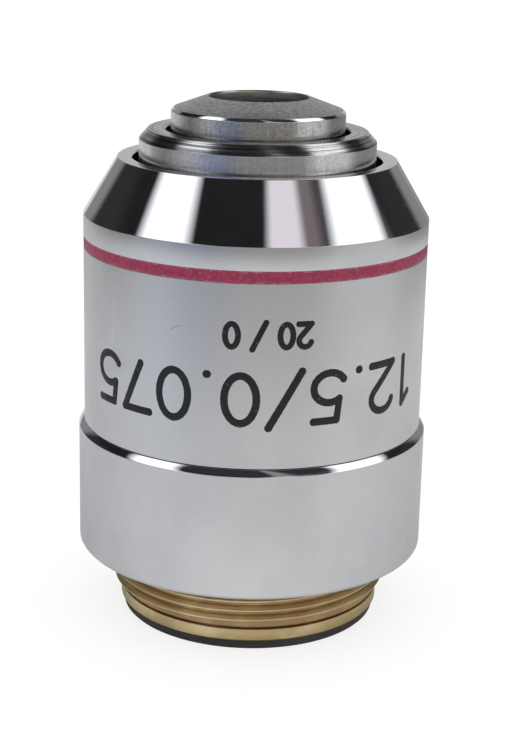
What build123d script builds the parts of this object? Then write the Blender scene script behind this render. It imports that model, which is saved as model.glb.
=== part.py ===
"""A plan objective for a microscope, standing on its thread with its nose up.

Millimetres. The origin is the centre of the black ring's rear face, and +Z is the
optical axis, from the thread to the nose.
"""

from math import copysign, sqrt
import os

from build123d import *

# Clearances of screwed, sliding and lens fits
thread_clearance = 0.03
slip_clearance = 0.05
lens_clearance = 0.03

# Standard thread of the brass mount, with the plain lengths on both sides of it
thread_radius = 10.12
thread_length = 2.85
thread_lead = 0.35
pilot_step = 0.47
pilot_height = 0.95
relief_depth = 0.35
relief_width = 0.15
undercut_depth = 0.87
undercut_width = 0.4
mount_wall = 2.0
mount_spigot_length = 4.3
mount_edge = 0.15

# Black ring in the rear end
ring_step = 0.24
ring_flange_height = 0.67
ring_spigot_length = 2.0
ring_wall = 1.22
ring_edge = 0.12
ring_flare = 0.9
ring_flare_depth = 0.8
ring_slot_width = 1.2
ring_slot_margin = 0.8
ring_slot_depth = 0.45

# Upper barrel, from the seam to the flat rim round the nose
upper_barrel_radius = 12.35
upper_barrel_height = 19.21
upper_barrel_wall = 2.65
seam_edge = 0.07
cone_height = 4.01
cone_inset = 2.42
rim_width = 1.06
rim_edge = 0.12
ledge_depth = 3.86

# Colour band in its groove, measured down from the cone's lower edge
band_drop = 1.57
band_width = 0.84
band_depth = 0.2
band_sink = 0.015

# Lower barrel, from the seating shoulder to the seam
chamfer_size = 0.4
lower_barrel_height = 9.53
corner_width = 1.0
corner_height = 0.55
land_gap = 0.23
land_height = 0.15
web_thickness = 1.7
neck_inset = 1.15
neck_wall = 1.2
neck_length = 3.4
neck_relief = 0.25
neck_edge = 0.2

# Lens barrel, whose nose shows as a sleeve inside the rim
nose_gap = 0.44
sleeve_rise = 1.97
sleeve_wall = 1.9
sleeve_bevel_width = 0.64
sleeve_bevel_height = 0.71
nose_bore_depth = 6.53
nose_bore_edge = 0.1
shank_gap = 1.0
tail_gap = 1.73
tail_wall = 1.0
bore_ledge = 0.6
clamp_sink = 0.5

# Shim and lock ring that hold the lens barrel at its height
shim_thickness = 0.5
lock_ring_height = 1.5
lock_ring_gap = 0.15
lock_ring_wall = 0.9
lock_slot_width = 1.6
lock_slot_depth = 0.8

# Front cell
cell_gap = 0.35
cell_rise = 1.46
cell_edge = 0.2
cell_cone_width = 2.45
cell_cone_height = 0.9
cell_thread_length = 3.0
cell_wall = 1.55
mouth_depth = 1.84

# Front lens, a thick meniscus, and the ring behind it
front_lens_flat = 0.7
front_lens_thickness = 3.6
front_hollow_curve = 9.31
front_back_curve = 18.63
front_ring_wall = 0.6
front_ring_length = 1.8

# Lens stack: the stop, the middle cell, a spacer, the rear cell and the clamp ring
stop_thickness = 0.6
stop_hole_inset = 0.3
middle_ring_length = 0.76
middle_cell_wall = 1.14
middle_lip = 0.4
spacer_length = 0.4
spacer_wall = 1.0
rear_ring_length = 1.03
rear_cell_wall = 0.84
rear_lip = 0.6
lip_width = 0.5
cell_ring_wall = 0.6
cell_ring_sink = 0.1
clamp_ring_height = 1.2
clamp_ring_wall = 1.1
clamp_slot_width = 1.2
clamp_slot_depth = 0.6

# Cemented pairs: thickness at the axis, and radius of each face
crown_thickness = 3.4
flint_thickness = 1.4
middle_front_curve = -204.12
middle_cement_curve = -24.45
middle_back_curve = 45.37
rear_front_curve = -46.98
rear_cement_curve = 26.79
rear_back_curve = 39.51

# Radii of the brass mount, the black ring and the lens barrel's tail
pilot_radius = thread_radius - pilot_step
relief_radius = pilot_radius - relief_depth
undercut_radius = thread_radius - undercut_depth
mount_bore_radius = undercut_radius - mount_wall
ring_flange_radius = pilot_radius - ring_step
ring_spigot_radius = mount_bore_radius - thread_clearance
ring_bore_radius = ring_spigot_radius - ring_wall
ring_mouth_radius = ring_bore_radius + ring_flare
ring_slot_reach = ring_flange_radius - ring_slot_margin
tail_radius = mount_bore_radius - slip_clearance
stack_bore_radius = tail_radius - tail_wall
stack_radius = stack_bore_radius - thread_clearance

# Radii of the two barrels and of the nose
lower_barrel_radius = upper_barrel_radius + chamfer_size
shoulder_bore_radius = undercut_radius + thread_clearance
land_radius = thread_radius + land_gap
corner_reach = min(corner_width, (lower_barrel_radius - land_radius) / 2)
neck_radius = upper_barrel_radius - neck_inset
neck_socket_radius = neck_radius + thread_clearance
neck_bore_radius = neck_radius - neck_wall
barrel_bore_radius = upper_barrel_radius - upper_barrel_wall
cone_top_radius = upper_barrel_radius - cone_inset
rim_radius = cone_top_radius - rim_width
flange_radius = barrel_bore_radius - thread_clearance
sleeve_radius = rim_radius - nose_gap
nose_bore_radius = sleeve_radius - sleeve_wall
bore_waist_radius = min(nose_bore_radius, stack_bore_radius) - bore_ledge
lock_ring_bore_radius = flange_radius - lock_ring_wall
shank_radius = lock_ring_bore_radius - slip_clearance
cell_thread_radius = nose_bore_radius - thread_clearance
cell_radius = nose_bore_radius - cell_gap
cell_mouth_radius = cell_radius - cell_edge - cell_cone_width

# Radii of the lenses and of what holds them
front_lens_radius = cell_radius - cell_wall - lens_clearance
front_lens_flat_radius = front_lens_radius - front_lens_flat
front_ring_bore_radius = front_lens_radius - front_ring_wall
middle_lens_radius = stack_radius - middle_cell_wall - lens_clearance
middle_lip_radius = middle_lens_radius - lip_width
middle_ring_bore_radius = middle_lens_radius - cell_ring_wall
stop_hole_radius = middle_lip_radius - stop_hole_inset
rear_lens_radius = stack_radius - rear_cell_wall - lens_clearance
rear_lip_radius = rear_lens_radius - lip_width
rear_ring_bore_radius = rear_lens_radius - cell_ring_wall
spacer_bore_radius = stack_radius - spacer_wall
clamp_ring_bore_radius = stack_radius - clamp_ring_wall

# Heights of the outside, from the rear end up
pilot_top_z = ring_flange_height + pilot_height
thread_z = pilot_top_z + relief_width
thread_top_z = thread_z + thread_length
shoulder_z = thread_top_z + undercut_width
web_z = shoulder_z + mount_spigot_length
web_top_z = web_z + web_thickness
seam_z = shoulder_z + lower_barrel_height
chamfer_z = seam_z - chamfer_size
neck_top_z = seam_z + neck_length
socket_top_z = neck_top_z + neck_relief
rim_z = seam_z + upper_barrel_height
cone_z = rim_z - cone_height
ledge_z = rim_z - ledge_depth
band_z = cone_z - band_drop - band_width

# Heights of the lens barrel and of the nose
shank_z = web_top_z + shank_gap
lock_ring_z = socket_top_z + lock_ring_gap
flange_z = lock_ring_z + lock_ring_height
flange_top_z = ledge_z - shim_thickness
sleeve_top_z = rim_z + sleeve_rise
cell_seat_z = sleeve_top_z - nose_bore_depth
cell_cone_z = sleeve_top_z + cell_rise
tip_z = cell_cone_z + cell_cone_height

# Heights of the lens stack, from the tail up
tail_z = ring_flange_height + ring_spigot_length + tail_gap
clamp_ring_z = tail_z + clamp_sink
rear_cell_z = clamp_ring_z + clamp_ring_height


def sag(curve, reach):
    """How far a lens face of this radius has moved along the axis, this far out."""
    return curve - copysign(sqrt(curve**2 - reach**2), curve)


def lens_face(vertex_z, curve, rim_radius):
    """Half of a spherical lens face, from the axis out to its rim."""
    middle = rim_radius / 2
    return ThreePointArc(
        (0, vertex_z),
        (middle, vertex_z + sag(curve, middle)),
        (rim_radius, vertex_z + sag(curve, rim_radius)),
    )


def turned(*points):
    """The closed half section of a turned piece, on the plane through its axis."""
    with BuildSketch(Plane.XZ) as section:
        with BuildLine():
            Polyline(*points, close=True)
        make_face()
    return section.sketch


# Places of the lenses and cells along the axis, each stack from its seat
front_rim_z = tip_z - mouth_depth
front_hollow_z = front_rim_z - sag(front_hollow_curve, front_lens_flat_radius)
front_back_z = front_hollow_z - front_lens_thickness
front_ring_top_z = front_back_z + sag(front_back_curve, front_ring_bore_radius)
rear_ring_z = rear_cell_z + cell_ring_sink
rear_back_z = rear_ring_z + rear_ring_length - sag(rear_back_curve, rear_ring_bore_radius)
rear_cement_z = rear_back_z + flint_thickness
rear_front_z = rear_cement_z + crown_thickness
rear_lip_z = rear_front_z + sag(rear_front_curve, rear_lip_radius)
rear_cell_top_z = rear_lip_z + rear_lip
middle_cell_z = rear_cell_top_z + spacer_length
middle_ring_z = middle_cell_z + cell_ring_sink
middle_back_z = middle_ring_z + middle_ring_length
middle_back_z -= sag(middle_back_curve, middle_ring_bore_radius)
middle_cement_z = middle_back_z + crown_thickness
middle_front_z = middle_cement_z + flint_thickness
middle_lip_z = middle_front_z + sag(middle_front_curve, middle_lip_radius)
middle_cell_top_z = middle_lip_z + middle_lip
stack_stop_z = middle_cell_top_z + stop_thickness

# Black ring: a flange, a threaded spigot and a flared mouth, with two spanner slots
with BuildPart() as rear_ring:
    revolve(
        turned(
            (ring_mouth_radius, 0),
            (ring_flange_radius - ring_edge, 0),
            (ring_flange_radius, ring_edge),
            (ring_flange_radius, ring_flange_height),
            (ring_spigot_radius, ring_flange_height),
            (ring_spigot_radius, ring_flange_height + ring_spigot_length),
            (ring_bore_radius, ring_flange_height + ring_spigot_length),
            (ring_bore_radius, ring_flare_depth),
        ),
        axis=Axis.Z,
    )
    with BuildSketch(Plane.XY):
        Rectangle(2 * ring_slot_reach, ring_slot_width)
        Circle(ring_mouth_radius, mode=Mode.SUBTRACT)
    extrude(amount=ring_slot_depth, mode=Mode.SUBTRACT)
rear_ring.part.label = "rear_ring"

# Thread mount: pilot, relief, thread at its full diameter, undercut and spigot
with BuildPart() as thread_mount:
    revolve(
        turned(
            (mount_bore_radius, ring_flange_height),
            (pilot_radius - mount_edge, ring_flange_height),
            (pilot_radius, ring_flange_height + mount_edge),
            (pilot_radius, pilot_top_z),
            (relief_radius, pilot_top_z),
            (relief_radius, thread_z),
            (thread_radius - thread_lead, thread_z),
            (thread_radius, thread_z + thread_lead),
            (thread_radius, thread_top_z - thread_lead),
            (thread_radius - thread_lead, thread_top_z),
            (undercut_radius, thread_top_z),
            (undercut_radius, web_z - mount_edge),
            (undercut_radius - mount_edge, web_z),
            (mount_bore_radius, web_z),
        ),
        axis=Axis.Z,
    )
thread_mount.part.label = "thread_mount"

# Lower barrel: seating land, rounded foot, polished chamfer and threaded neck
with BuildPart() as lower_barrel:
    with BuildSketch(Plane.XZ):
        with BuildLine():
            corner = EllipticalCenterArc(
                (lower_barrel_radius - corner_reach, shoulder_z + corner_height),
                corner_reach,
                corner_height,
                start_angle=270,
                arc_size=90,
            )
            Polyline(
                corner @ 1,
                (lower_barrel_radius, chamfer_z),
                (upper_barrel_radius, seam_z),
                (neck_radius, seam_z),
                (neck_radius, neck_top_z - neck_edge),
                (neck_radius - neck_edge, neck_top_z),
                (neck_bore_radius, neck_top_z),
                (neck_bore_radius, web_top_z),
                (mount_bore_radius, web_top_z),
                (mount_bore_radius, web_z),
                (shoulder_bore_radius, web_z),
                (shoulder_bore_radius, shoulder_z + land_height),
                (land_radius, shoulder_z + land_height),
                (land_radius, shoulder_z),
                corner @ 0,
            )
        make_face()
    revolve(axis=Axis.Z)
lower_barrel.part.label = "lower_barrel"

# Upper barrel: band groove, polished cone, flat rim and a ledge inside for the shim
with BuildPart() as upper_barrel:
    revolve(
        turned(
            (neck_socket_radius, seam_z),
            (upper_barrel_radius - seam_edge, seam_z),
            (upper_barrel_radius, seam_z + seam_edge),
            (upper_barrel_radius, band_z),
            (upper_barrel_radius - band_depth, band_z),
            (upper_barrel_radius - band_depth, band_z + band_width),
            (upper_barrel_radius, band_z + band_width),
            (upper_barrel_radius, cone_z),
            (cone_top_radius, rim_z),
            (rim_radius + rim_edge, rim_z),
            (rim_radius, rim_z - rim_edge),
            (rim_radius, ledge_z),
            (barrel_bore_radius, ledge_z),
            (barrel_bore_radius, socket_top_z),
            (neck_socket_radius, socket_top_z),
        ),
        axis=Axis.Z,
    )
upper_barrel.part.label = "upper_barrel"

# Colour band: enamel that fills its groove almost flush
with BuildPart() as colour_band:
    with BuildSketch(Plane.XY.offset(band_z)):
        Circle(upper_barrel_radius - band_sink)
        Circle(upper_barrel_radius - band_depth, mode=Mode.SUBTRACT)
    extrude(amount=band_width)
colour_band.part.label = "colour_band"

# Lens barrel: nose sleeve, threaded flange, shank, tail, and bores from both ends
with BuildPart() as lens_barrel:
    revolve(
        turned(
            (stack_bore_radius, tail_z),
            (tail_radius, tail_z),
            (tail_radius, shank_z),
            (shank_radius, shank_z),
            (shank_radius, flange_z),
            (flange_radius, flange_z),
            (flange_radius, flange_top_z),
            (sleeve_radius, flange_top_z),
            (sleeve_radius, sleeve_top_z - sleeve_bevel_height),
            (sleeve_radius - sleeve_bevel_width, sleeve_top_z),
            (nose_bore_radius + nose_bore_edge, sleeve_top_z),
            (nose_bore_radius, sleeve_top_z - nose_bore_edge),
            (nose_bore_radius, cell_seat_z),
            (bore_waist_radius, cell_seat_z),
            (bore_waist_radius, stack_stop_z),
            (stack_bore_radius, stack_stop_z),
        ),
        axis=Axis.Z,
    )
lens_barrel.part.label = "lens_barrel"

# Parfocal shim: the thin washer that sets the lens barrel's height under the ledge
with BuildPart() as parfocal_shim:
    with BuildSketch(Plane.XY.offset(flange_top_z)):
        Circle(flange_radius)
        Circle(sleeve_radius + slip_clearance, mode=Mode.SUBTRACT)
    extrude(amount=shim_thickness)
parfocal_shim.part.label = "parfocal_shim"

# Lock ring: screws up against the lens barrel's flange
with BuildPart() as parfocal_lock_ring:
    with BuildSketch(Plane.XY.offset(lock_ring_z)):
        Circle(flange_radius)
        Circle(lock_ring_bore_radius, mode=Mode.SUBTRACT)
    extrude(amount=lock_ring_height)
    with BuildSketch(Plane.XY.offset(lock_ring_z)):
        Rectangle(2 * barrel_bore_radius, lock_slot_width)
    extrude(amount=lock_slot_depth, mode=Mode.SUBTRACT)
parfocal_lock_ring.part.label = "parfocal_lock_ring"

# Front cell: threaded foot, ground wall, small bevel, cone and the mouth over the lens
with BuildPart() as front_cell:
    revolve(
        turned(
            (front_lens_radius + lens_clearance, cell_seat_z),
            (cell_thread_radius, cell_seat_z),
            (cell_thread_radius, cell_seat_z + cell_thread_length),
            (cell_radius, cell_seat_z + cell_thread_length),
            (cell_radius, cell_cone_z - cell_edge),
            (cell_radius - cell_edge, cell_cone_z),
            (cell_mouth_radius, tip_z),
            (cell_mouth_radius, front_rim_z),
            (front_lens_radius + lens_clearance, front_rim_z),
        ),
        axis=Axis.Z,
    )
front_cell.part.label = "front_cell"

# Front lens: a thick meniscus, hollow towards the specimen, with a flat rim
with BuildPart() as front_lens:
    with BuildSketch(Plane.XZ):
        with BuildLine():
            back = lens_face(front_back_z, front_back_curve, front_lens_radius)
            hollow = lens_face(front_hollow_z, front_hollow_curve, front_lens_flat_radius)
            Polyline(back @ 1, (front_lens_radius, front_rim_z), hollow @ 1)
            Line(back @ 0, hollow @ 0)
        make_face()
    revolve(axis=Axis.Z)
front_lens.part.label = "front_lens"

# Front lens ring: screws in behind the front lens and bears on its back
with BuildPart() as front_lens_ring:
    with BuildSketch(Plane.XY.offset(front_ring_top_z - front_ring_length)):
        Circle(front_lens_radius)
        Circle(front_ring_bore_radius, mode=Mode.SUBTRACT)
    extrude(amount=front_ring_length)
front_lens_ring.part.label = "front_lens_ring"

# Aperture stop: a thin blackened disc on the stop of the stack bore
with BuildPart() as aperture_stop:
    revolve(
        turned(
            (stop_hole_radius + stop_thickness, middle_cell_top_z),
            (stack_radius, middle_cell_top_z),
            (stack_radius, stack_stop_z),
            (stop_hole_radius, stack_stop_z),
        ),
        axis=Axis.Z,
    )
aperture_stop.part.label = "aperture_stop"

# Middle cell: a cup with a lip in front, open to the rear
with BuildPart() as middle_cell:
    revolve(
        turned(
            (middle_lens_radius + lens_clearance, middle_cell_z),
            (stack_radius, middle_cell_z),
            (stack_radius, middle_cell_top_z),
            (middle_lip_radius, middle_cell_top_z),
            (middle_lip_radius, middle_lip_z),
            (middle_lens_radius + lens_clearance, middle_lip_z),
        ),
        axis=Axis.Z,
    )
middle_cell.part.label = "middle_cell"

# Middle pair: a crown and a flint cemented on a shared sphere
with BuildPart() as middle_flint_lens:
    with BuildSketch(Plane.XZ):
        with BuildLine():
            cement = lens_face(middle_cement_z, middle_cement_curve, middle_lens_radius)
            front = lens_face(middle_front_z, middle_front_curve, middle_lens_radius)
            Line(cement @ 1, front @ 1)
            Line(cement @ 0, front @ 0)
        make_face()
    revolve(axis=Axis.Z)
middle_flint_lens.part.label = "middle_flint_lens"

with BuildPart() as middle_crown_lens:
    with BuildSketch(Plane.XZ):
        with BuildLine():
            back = lens_face(middle_back_z, middle_back_curve, middle_lens_radius)
            cement = lens_face(middle_cement_z, middle_cement_curve, middle_lens_radius)
            Line(back @ 1, cement @ 1)
            Line(back @ 0, cement @ 0)
        make_face()
    revolve(axis=Axis.Z)
middle_crown_lens.part.label = "middle_crown_lens"

# Middle lens ring: bears on the back of the pair and ends inside the cell
with BuildPart() as middle_lens_ring:
    with BuildSketch(Plane.XY.offset(middle_ring_z)):
        Circle(middle_lens_radius)
        Circle(middle_ring_bore_radius, mode=Mode.SUBTRACT)
    extrude(amount=middle_ring_length)
middle_lens_ring.part.label = "middle_lens_ring"

# Spacer ring between the two cells
with BuildPart() as spacer_ring:
    with BuildSketch(Plane.XY.offset(rear_cell_top_z)):
        Circle(stack_radius)
        Circle(spacer_bore_radius, mode=Mode.SUBTRACT)
    extrude(amount=spacer_length)
spacer_ring.part.label = "spacer_ring"

# Rear cell: a cup like the middle one, for the larger pair
with BuildPart() as rear_cell:
    revolve(
        turned(
            (rear_lens_radius + lens_clearance, rear_cell_z),
            (stack_radius, rear_cell_z),
            (stack_radius, rear_cell_top_z),
            (rear_lip_radius, rear_cell_top_z),
            (rear_lip_radius, rear_lip_z),
            (rear_lens_radius + lens_clearance, rear_lip_z),
        ),
        axis=Axis.Z,
    )
rear_cell.part.label = "rear_cell"

# Rear pair: a flint and a crown cemented on a shared sphere
with BuildPart() as rear_crown_lens:
    with BuildSketch(Plane.XZ):
        with BuildLine():
            cement = lens_face(rear_cement_z, rear_cement_curve, rear_lens_radius)
            front = lens_face(rear_front_z, rear_front_curve, rear_lens_radius)
            Line(cement @ 1, front @ 1)
            Line(cement @ 0, front @ 0)
        make_face()
    revolve(axis=Axis.Z)
rear_crown_lens.part.label = "rear_crown_lens"

with BuildPart() as rear_flint_lens:
    with BuildSketch(Plane.XZ):
        with BuildLine():
            back = lens_face(rear_back_z, rear_back_curve, rear_lens_radius)
            cement = lens_face(rear_cement_z, rear_cement_curve, rear_lens_radius)
            Line(back @ 1, cement @ 1)
            Line(back @ 0, cement @ 0)
        make_face()
    revolve(axis=Axis.Z)
rear_flint_lens.part.label = "rear_flint_lens"

# Rear lens ring: bears on the back of the pair and ends inside the cell
with BuildPart() as rear_lens_ring:
    with BuildSketch(Plane.XY.offset(rear_ring_z)):
        Circle(rear_lens_radius)
        Circle(rear_ring_bore_radius, mode=Mode.SUBTRACT)
    extrude(amount=rear_ring_length)
rear_lens_ring.part.label = "rear_lens_ring"

# Clamp ring: screws into the tail and closes the lens stack
with BuildPart() as stack_clamp_ring:
    with BuildSketch(Plane.XY.offset(clamp_ring_z)):
        Circle(stack_radius)
        Circle(clamp_ring_bore_radius, mode=Mode.SUBTRACT)
    extrude(amount=clamp_ring_height)
    with BuildSketch(Plane.XY.offset(clamp_ring_z)):
        Rectangle(2 * stack_bore_radius, clamp_slot_width)
    extrude(amount=clamp_slot_depth, mode=Mode.SUBTRACT)
stack_clamp_ring.part.label = "stack_clamp_ring"

pieces = [
    rear_ring,
    thread_mount,
    lower_barrel,
    upper_barrel,
    colour_band,
    lens_barrel,
    parfocal_shim,
    parfocal_lock_ring,
    front_cell,
    front_lens,
    front_lens_ring,
    aperture_stop,
    middle_cell,
    middle_flint_lens,
    middle_crown_lens,
    middle_lens_ring,
    spacer_ring,
    rear_cell,
    rear_crown_lens,
    rear_flint_lens,
    rear_lens_ring,
    stack_clamp_ring,
]

os.makedirs("parts", exist_ok=True)
for piece in pieces:
    export_step(piece.part, f"parts/{piece.part.label}.step")
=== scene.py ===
"""Dresses a plan objective for a microscope, which stands on its thread with its nose up.

The outer turned pieces are modelled again with broken edges, a real helical thread and
paint-filled numerals, and every piece gets its finish. Sizes are millimetres, in the
frame of the solids: the origin is the centre of the black ring's rear face, and +Z is
the optical axis.
"""

from __future__ import annotations

import logging
import math
from collections.abc import Callable, Sequence
from dataclasses import dataclass, field
from enum import Enum
from typing import Any

import bpy
from mathutils import Matrix, Vector


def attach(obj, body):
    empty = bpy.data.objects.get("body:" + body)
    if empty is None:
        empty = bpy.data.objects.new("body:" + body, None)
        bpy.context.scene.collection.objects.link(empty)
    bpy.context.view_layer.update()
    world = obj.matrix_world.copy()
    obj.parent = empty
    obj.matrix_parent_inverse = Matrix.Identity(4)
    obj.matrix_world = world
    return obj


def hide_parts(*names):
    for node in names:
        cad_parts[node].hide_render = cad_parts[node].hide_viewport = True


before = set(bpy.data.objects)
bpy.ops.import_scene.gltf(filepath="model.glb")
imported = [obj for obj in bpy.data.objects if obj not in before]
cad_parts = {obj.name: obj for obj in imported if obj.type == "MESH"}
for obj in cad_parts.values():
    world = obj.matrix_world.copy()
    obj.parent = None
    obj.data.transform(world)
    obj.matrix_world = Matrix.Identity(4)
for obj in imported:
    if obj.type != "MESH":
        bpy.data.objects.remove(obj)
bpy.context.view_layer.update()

log = logging.getLogger("objective")

MM = 0.001
BODY = "root"
TURN_STEPS = 256
MERGE_DISTANCE = 1.5e-6
BROKEN_EDGE = 0.03
EDGE_SEGMENTS = 2
EDGE_ANGLE = math.radians(20)
SMOOTH_ANGLE = math.radians(34)
PAINT_SMOOTH_ANGLE = math.radians(50)
SOFT = 0.02

Piece = bpy.types.Object
Material = bpy.types.Material
Point = tuple[float, float]
Place = tuple[float, float, float]
Colour = tuple[float, float, float]
Stop = tuple[float, float, float, float]


# Modelling by hand tools


def pick(*pieces: Piece) -> None:
    """Leaves edit mode, selects these pieces alone and makes the first one active.

    Args:
        pieces: the objects to work on, or none to clear the selection.
    """
    if bpy.context.mode != "OBJECT":
        bpy.ops.object.mode_set(mode="OBJECT")
    bpy.ops.object.select_all(action="DESELECT")
    for piece in pieces:
        piece.select_set(True)
    if pieces:
        bpy.context.view_layer.objects.active = pieces[0]


def draw_chain(name: str, points: Sequence[Place]) -> Piece:
    """Draws a chain of edges by extruding one vertex from point to point.

    Args:
        name: the new object's name.
        points: the chain's corners, in millimetres.

    Returns:
        The new object, in edit mode, with its origin at the frame's origin.
    """
    pick()
    bpy.ops.mesh.primitive_plane_add(size=MM, location=Vector(points[0]) * MM)
    chain = bpy.context.active_object
    chain.name = name
    chain.data.name = name
    bpy.ops.object.transform_apply(location=True, rotation=True, scale=True)
    bpy.ops.object.mode_set(mode="EDIT")
    bpy.ops.mesh.select_all(action="SELECT")
    bpy.ops.mesh.merge(type="CENTER")
    for here, there in zip(points, points[1:]):
        step = (Vector(there) - Vector(here)) * MM
        bpy.ops.mesh.extrude_vertices_move(TRANSFORM_OT_translate={"value": step})
    return chain


def close_up() -> None:
    """Merges doubles in edit mode, turns all faces outwards and leaves edit mode."""
    bpy.ops.mesh.select_all(action="SELECT")
    bpy.ops.mesh.remove_doubles(threshold=MERGE_DISTANCE)
    bpy.ops.mesh.select_all(action="SELECT")
    bpy.ops.mesh.normals_make_consistent(inside=False)
    bpy.ops.object.mode_set(mode="OBJECT")


def apply_modifiers(piece: Piece) -> None:
    """Applies every modifier of a piece, in order.

    Args:
        piece: the object whose modifiers become mesh.
    """
    pick(piece)
    for modifier in list(piece.modifiers):
        bpy.ops.object.modifier_apply(modifier=modifier.name)


def finish_edges(piece: Piece, edge: float) -> None:
    """Breaks the sharp edges of a piece and evens out its shading.

    Args:
        piece: the object to finish.
        edge: the width of the broken edge, in millimetres.
    """
    pick(piece)
    bpy.ops.object.shade_smooth()
    if edge > 0:
        bevel = piece.modifiers.new("broken_edge", "BEVEL")
        bevel.width = edge * MM
        bevel.segments = EDGE_SEGMENTS
        bevel.limit_method = "ANGLE"
        bevel.angle_limit = EDGE_ANGLE
        apply_modifiers(piece)
    bpy.ops.object.shade_smooth_by_angle(angle=SMOOTH_ANGLE)
    piece.modifiers.new("even_shading", "WEIGHTED_NORMAL").keep_sharp = True
    apply_modifiers(piece)


def turn_piece(name: str, section: Sequence[Point], edge: float = BROKEN_EDGE) -> Piece:
    """Turns a half section about the optical axis, as on a lathe.

    A section that starts and ends on the axis stays open there, and any other is closed.

    Args:
        name: the new object's name.
        section: the corners (radius, height) of the half section, in order.
        edge: the width of its broken edges, in millimetres.

    Returns:
        The finished object, at the origin.
    """
    corners = [(radius, 0.0, height) for radius, height in section]
    if section[0][0] > 0 or section[-1][0] > 0:
        corners.append(corners[0])
    piece = draw_chain(name, corners)
    bpy.ops.mesh.select_all(action="SELECT")
    bpy.ops.mesh.spin(steps=TURN_STEPS, angle=math.tau, center=(0, 0, 0), axis=(0, 0, 1))
    close_up()
    finish_edges(piece, edge)
    return piece


def arc_points(
    centre: Point, radii: Point, first: float, last: float, count: int
) -> list[Point]:
    """Points along an arc of an ellipse.

    Args:
        centre: the arc's centre.
        radii: its two radii, along the first and second coordinate.
        first: the first angle, in degrees.
        last: the last angle, in degrees.
        count: how many points, both ends included.

    Returns:
        The points in order.
    """
    points = []
    for index in range(count):
        angle = math.radians(first + (last - first) * index / (count - 1))
        across = centre[0] + radii[0] * math.cos(angle)
        along = centre[1] + radii[1] * math.sin(angle)
        points.append((across, along))
    return points


def face_points(vertex: float, curve: float, rim: float, count: int = 14) -> list[Point]:
    """Points along half of a spherical lens face, from the axis out.

    Args:
        vertex: the height of the face on the axis.
        curve: its radius, negative where it bulges forwards.
        rim: the radius where it ends.
        count: how many points, both ends included.

    Returns:
        The points (radius, height) in order.
    """
    points = []
    for index in range(count):
        reach = rim * index / (count - 1)
        drop = curve - math.copysign(math.sqrt(curve**2 - reach**2), curve)
        points.append((reach, vertex + drop))
    return points


def join_pieces(pieces: Sequence[Piece]) -> Piece:
    """Joins several objects into the first of them.

    Args:
        pieces: the objects, the one that stays first.

    Returns:
        The object that holds them all.
    """
    pick(*pieces)
    bpy.ops.object.join()
    return pieces[0]


def settle(piece: Piece, material: Material, stands_for: str = "") -> None:
    """Gives a new piece its finish and its place in the frame.

    Args:
        piece: the finished object.
        material: its finish.
        stands_for: the node that it replaces, if any.
    """
    piece.data.materials.clear()
    piece.data.materials.append(material)
    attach(piece, BODY)
    if stands_for:
        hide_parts(stands_for)
    log.info("%s: %d faces", piece.name, len(piece.data.polygons))


def dress(material: Material, *nodes: str) -> None:
    """Gives carried-over solids their finish.

    Args:
        material: the finish.
        nodes: the names of their nodes.
    """
    for node in nodes:
        for material_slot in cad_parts[node].material_slots:
            material_slot.material = material
        log.info("%s keeps its solid", node)


# Node trees


class Effect(Enum):
    """The effects that several finishes share."""

    LATHE = "lathe_coordinates"
    GRAIN = "turned_grain"
    SMUDGE = "handling_smudges"
    SPECK = "fine_specks"
    SCRATCH = "hairline_scratches"


@dataclass(frozen=True)
class Wire:
    """One output of a node, which can be reckoned with like a number."""

    graph: Graph
    socket: bpy.types.NodeSocket

    def __add__(self, other: Any) -> Wire:
        """The sum of this and a wire or number."""
        return self.graph.math("ADD", self, other)

    def __sub__(self, other: Any) -> Wire:
        """This less a wire or number."""
        return self.graph.math("SUBTRACT", self, other)

    def __rsub__(self, other: float) -> Wire:
        """A number less this."""
        return self.graph.math("SUBTRACT", other, self)

    def __mul__(self, other: Any) -> Wire:
        """The product of this and a wire or number."""
        return self.graph.math("MULTIPLY", self, other)

    def __truediv__(self, other: float) -> Wire:
        """This over a number."""
        return self.graph.math("DIVIDE", self, other)

    def __abs__(self) -> Wire:
        """This without its sign."""
        return self.graph.math("ABSOLUTE", self)


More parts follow.
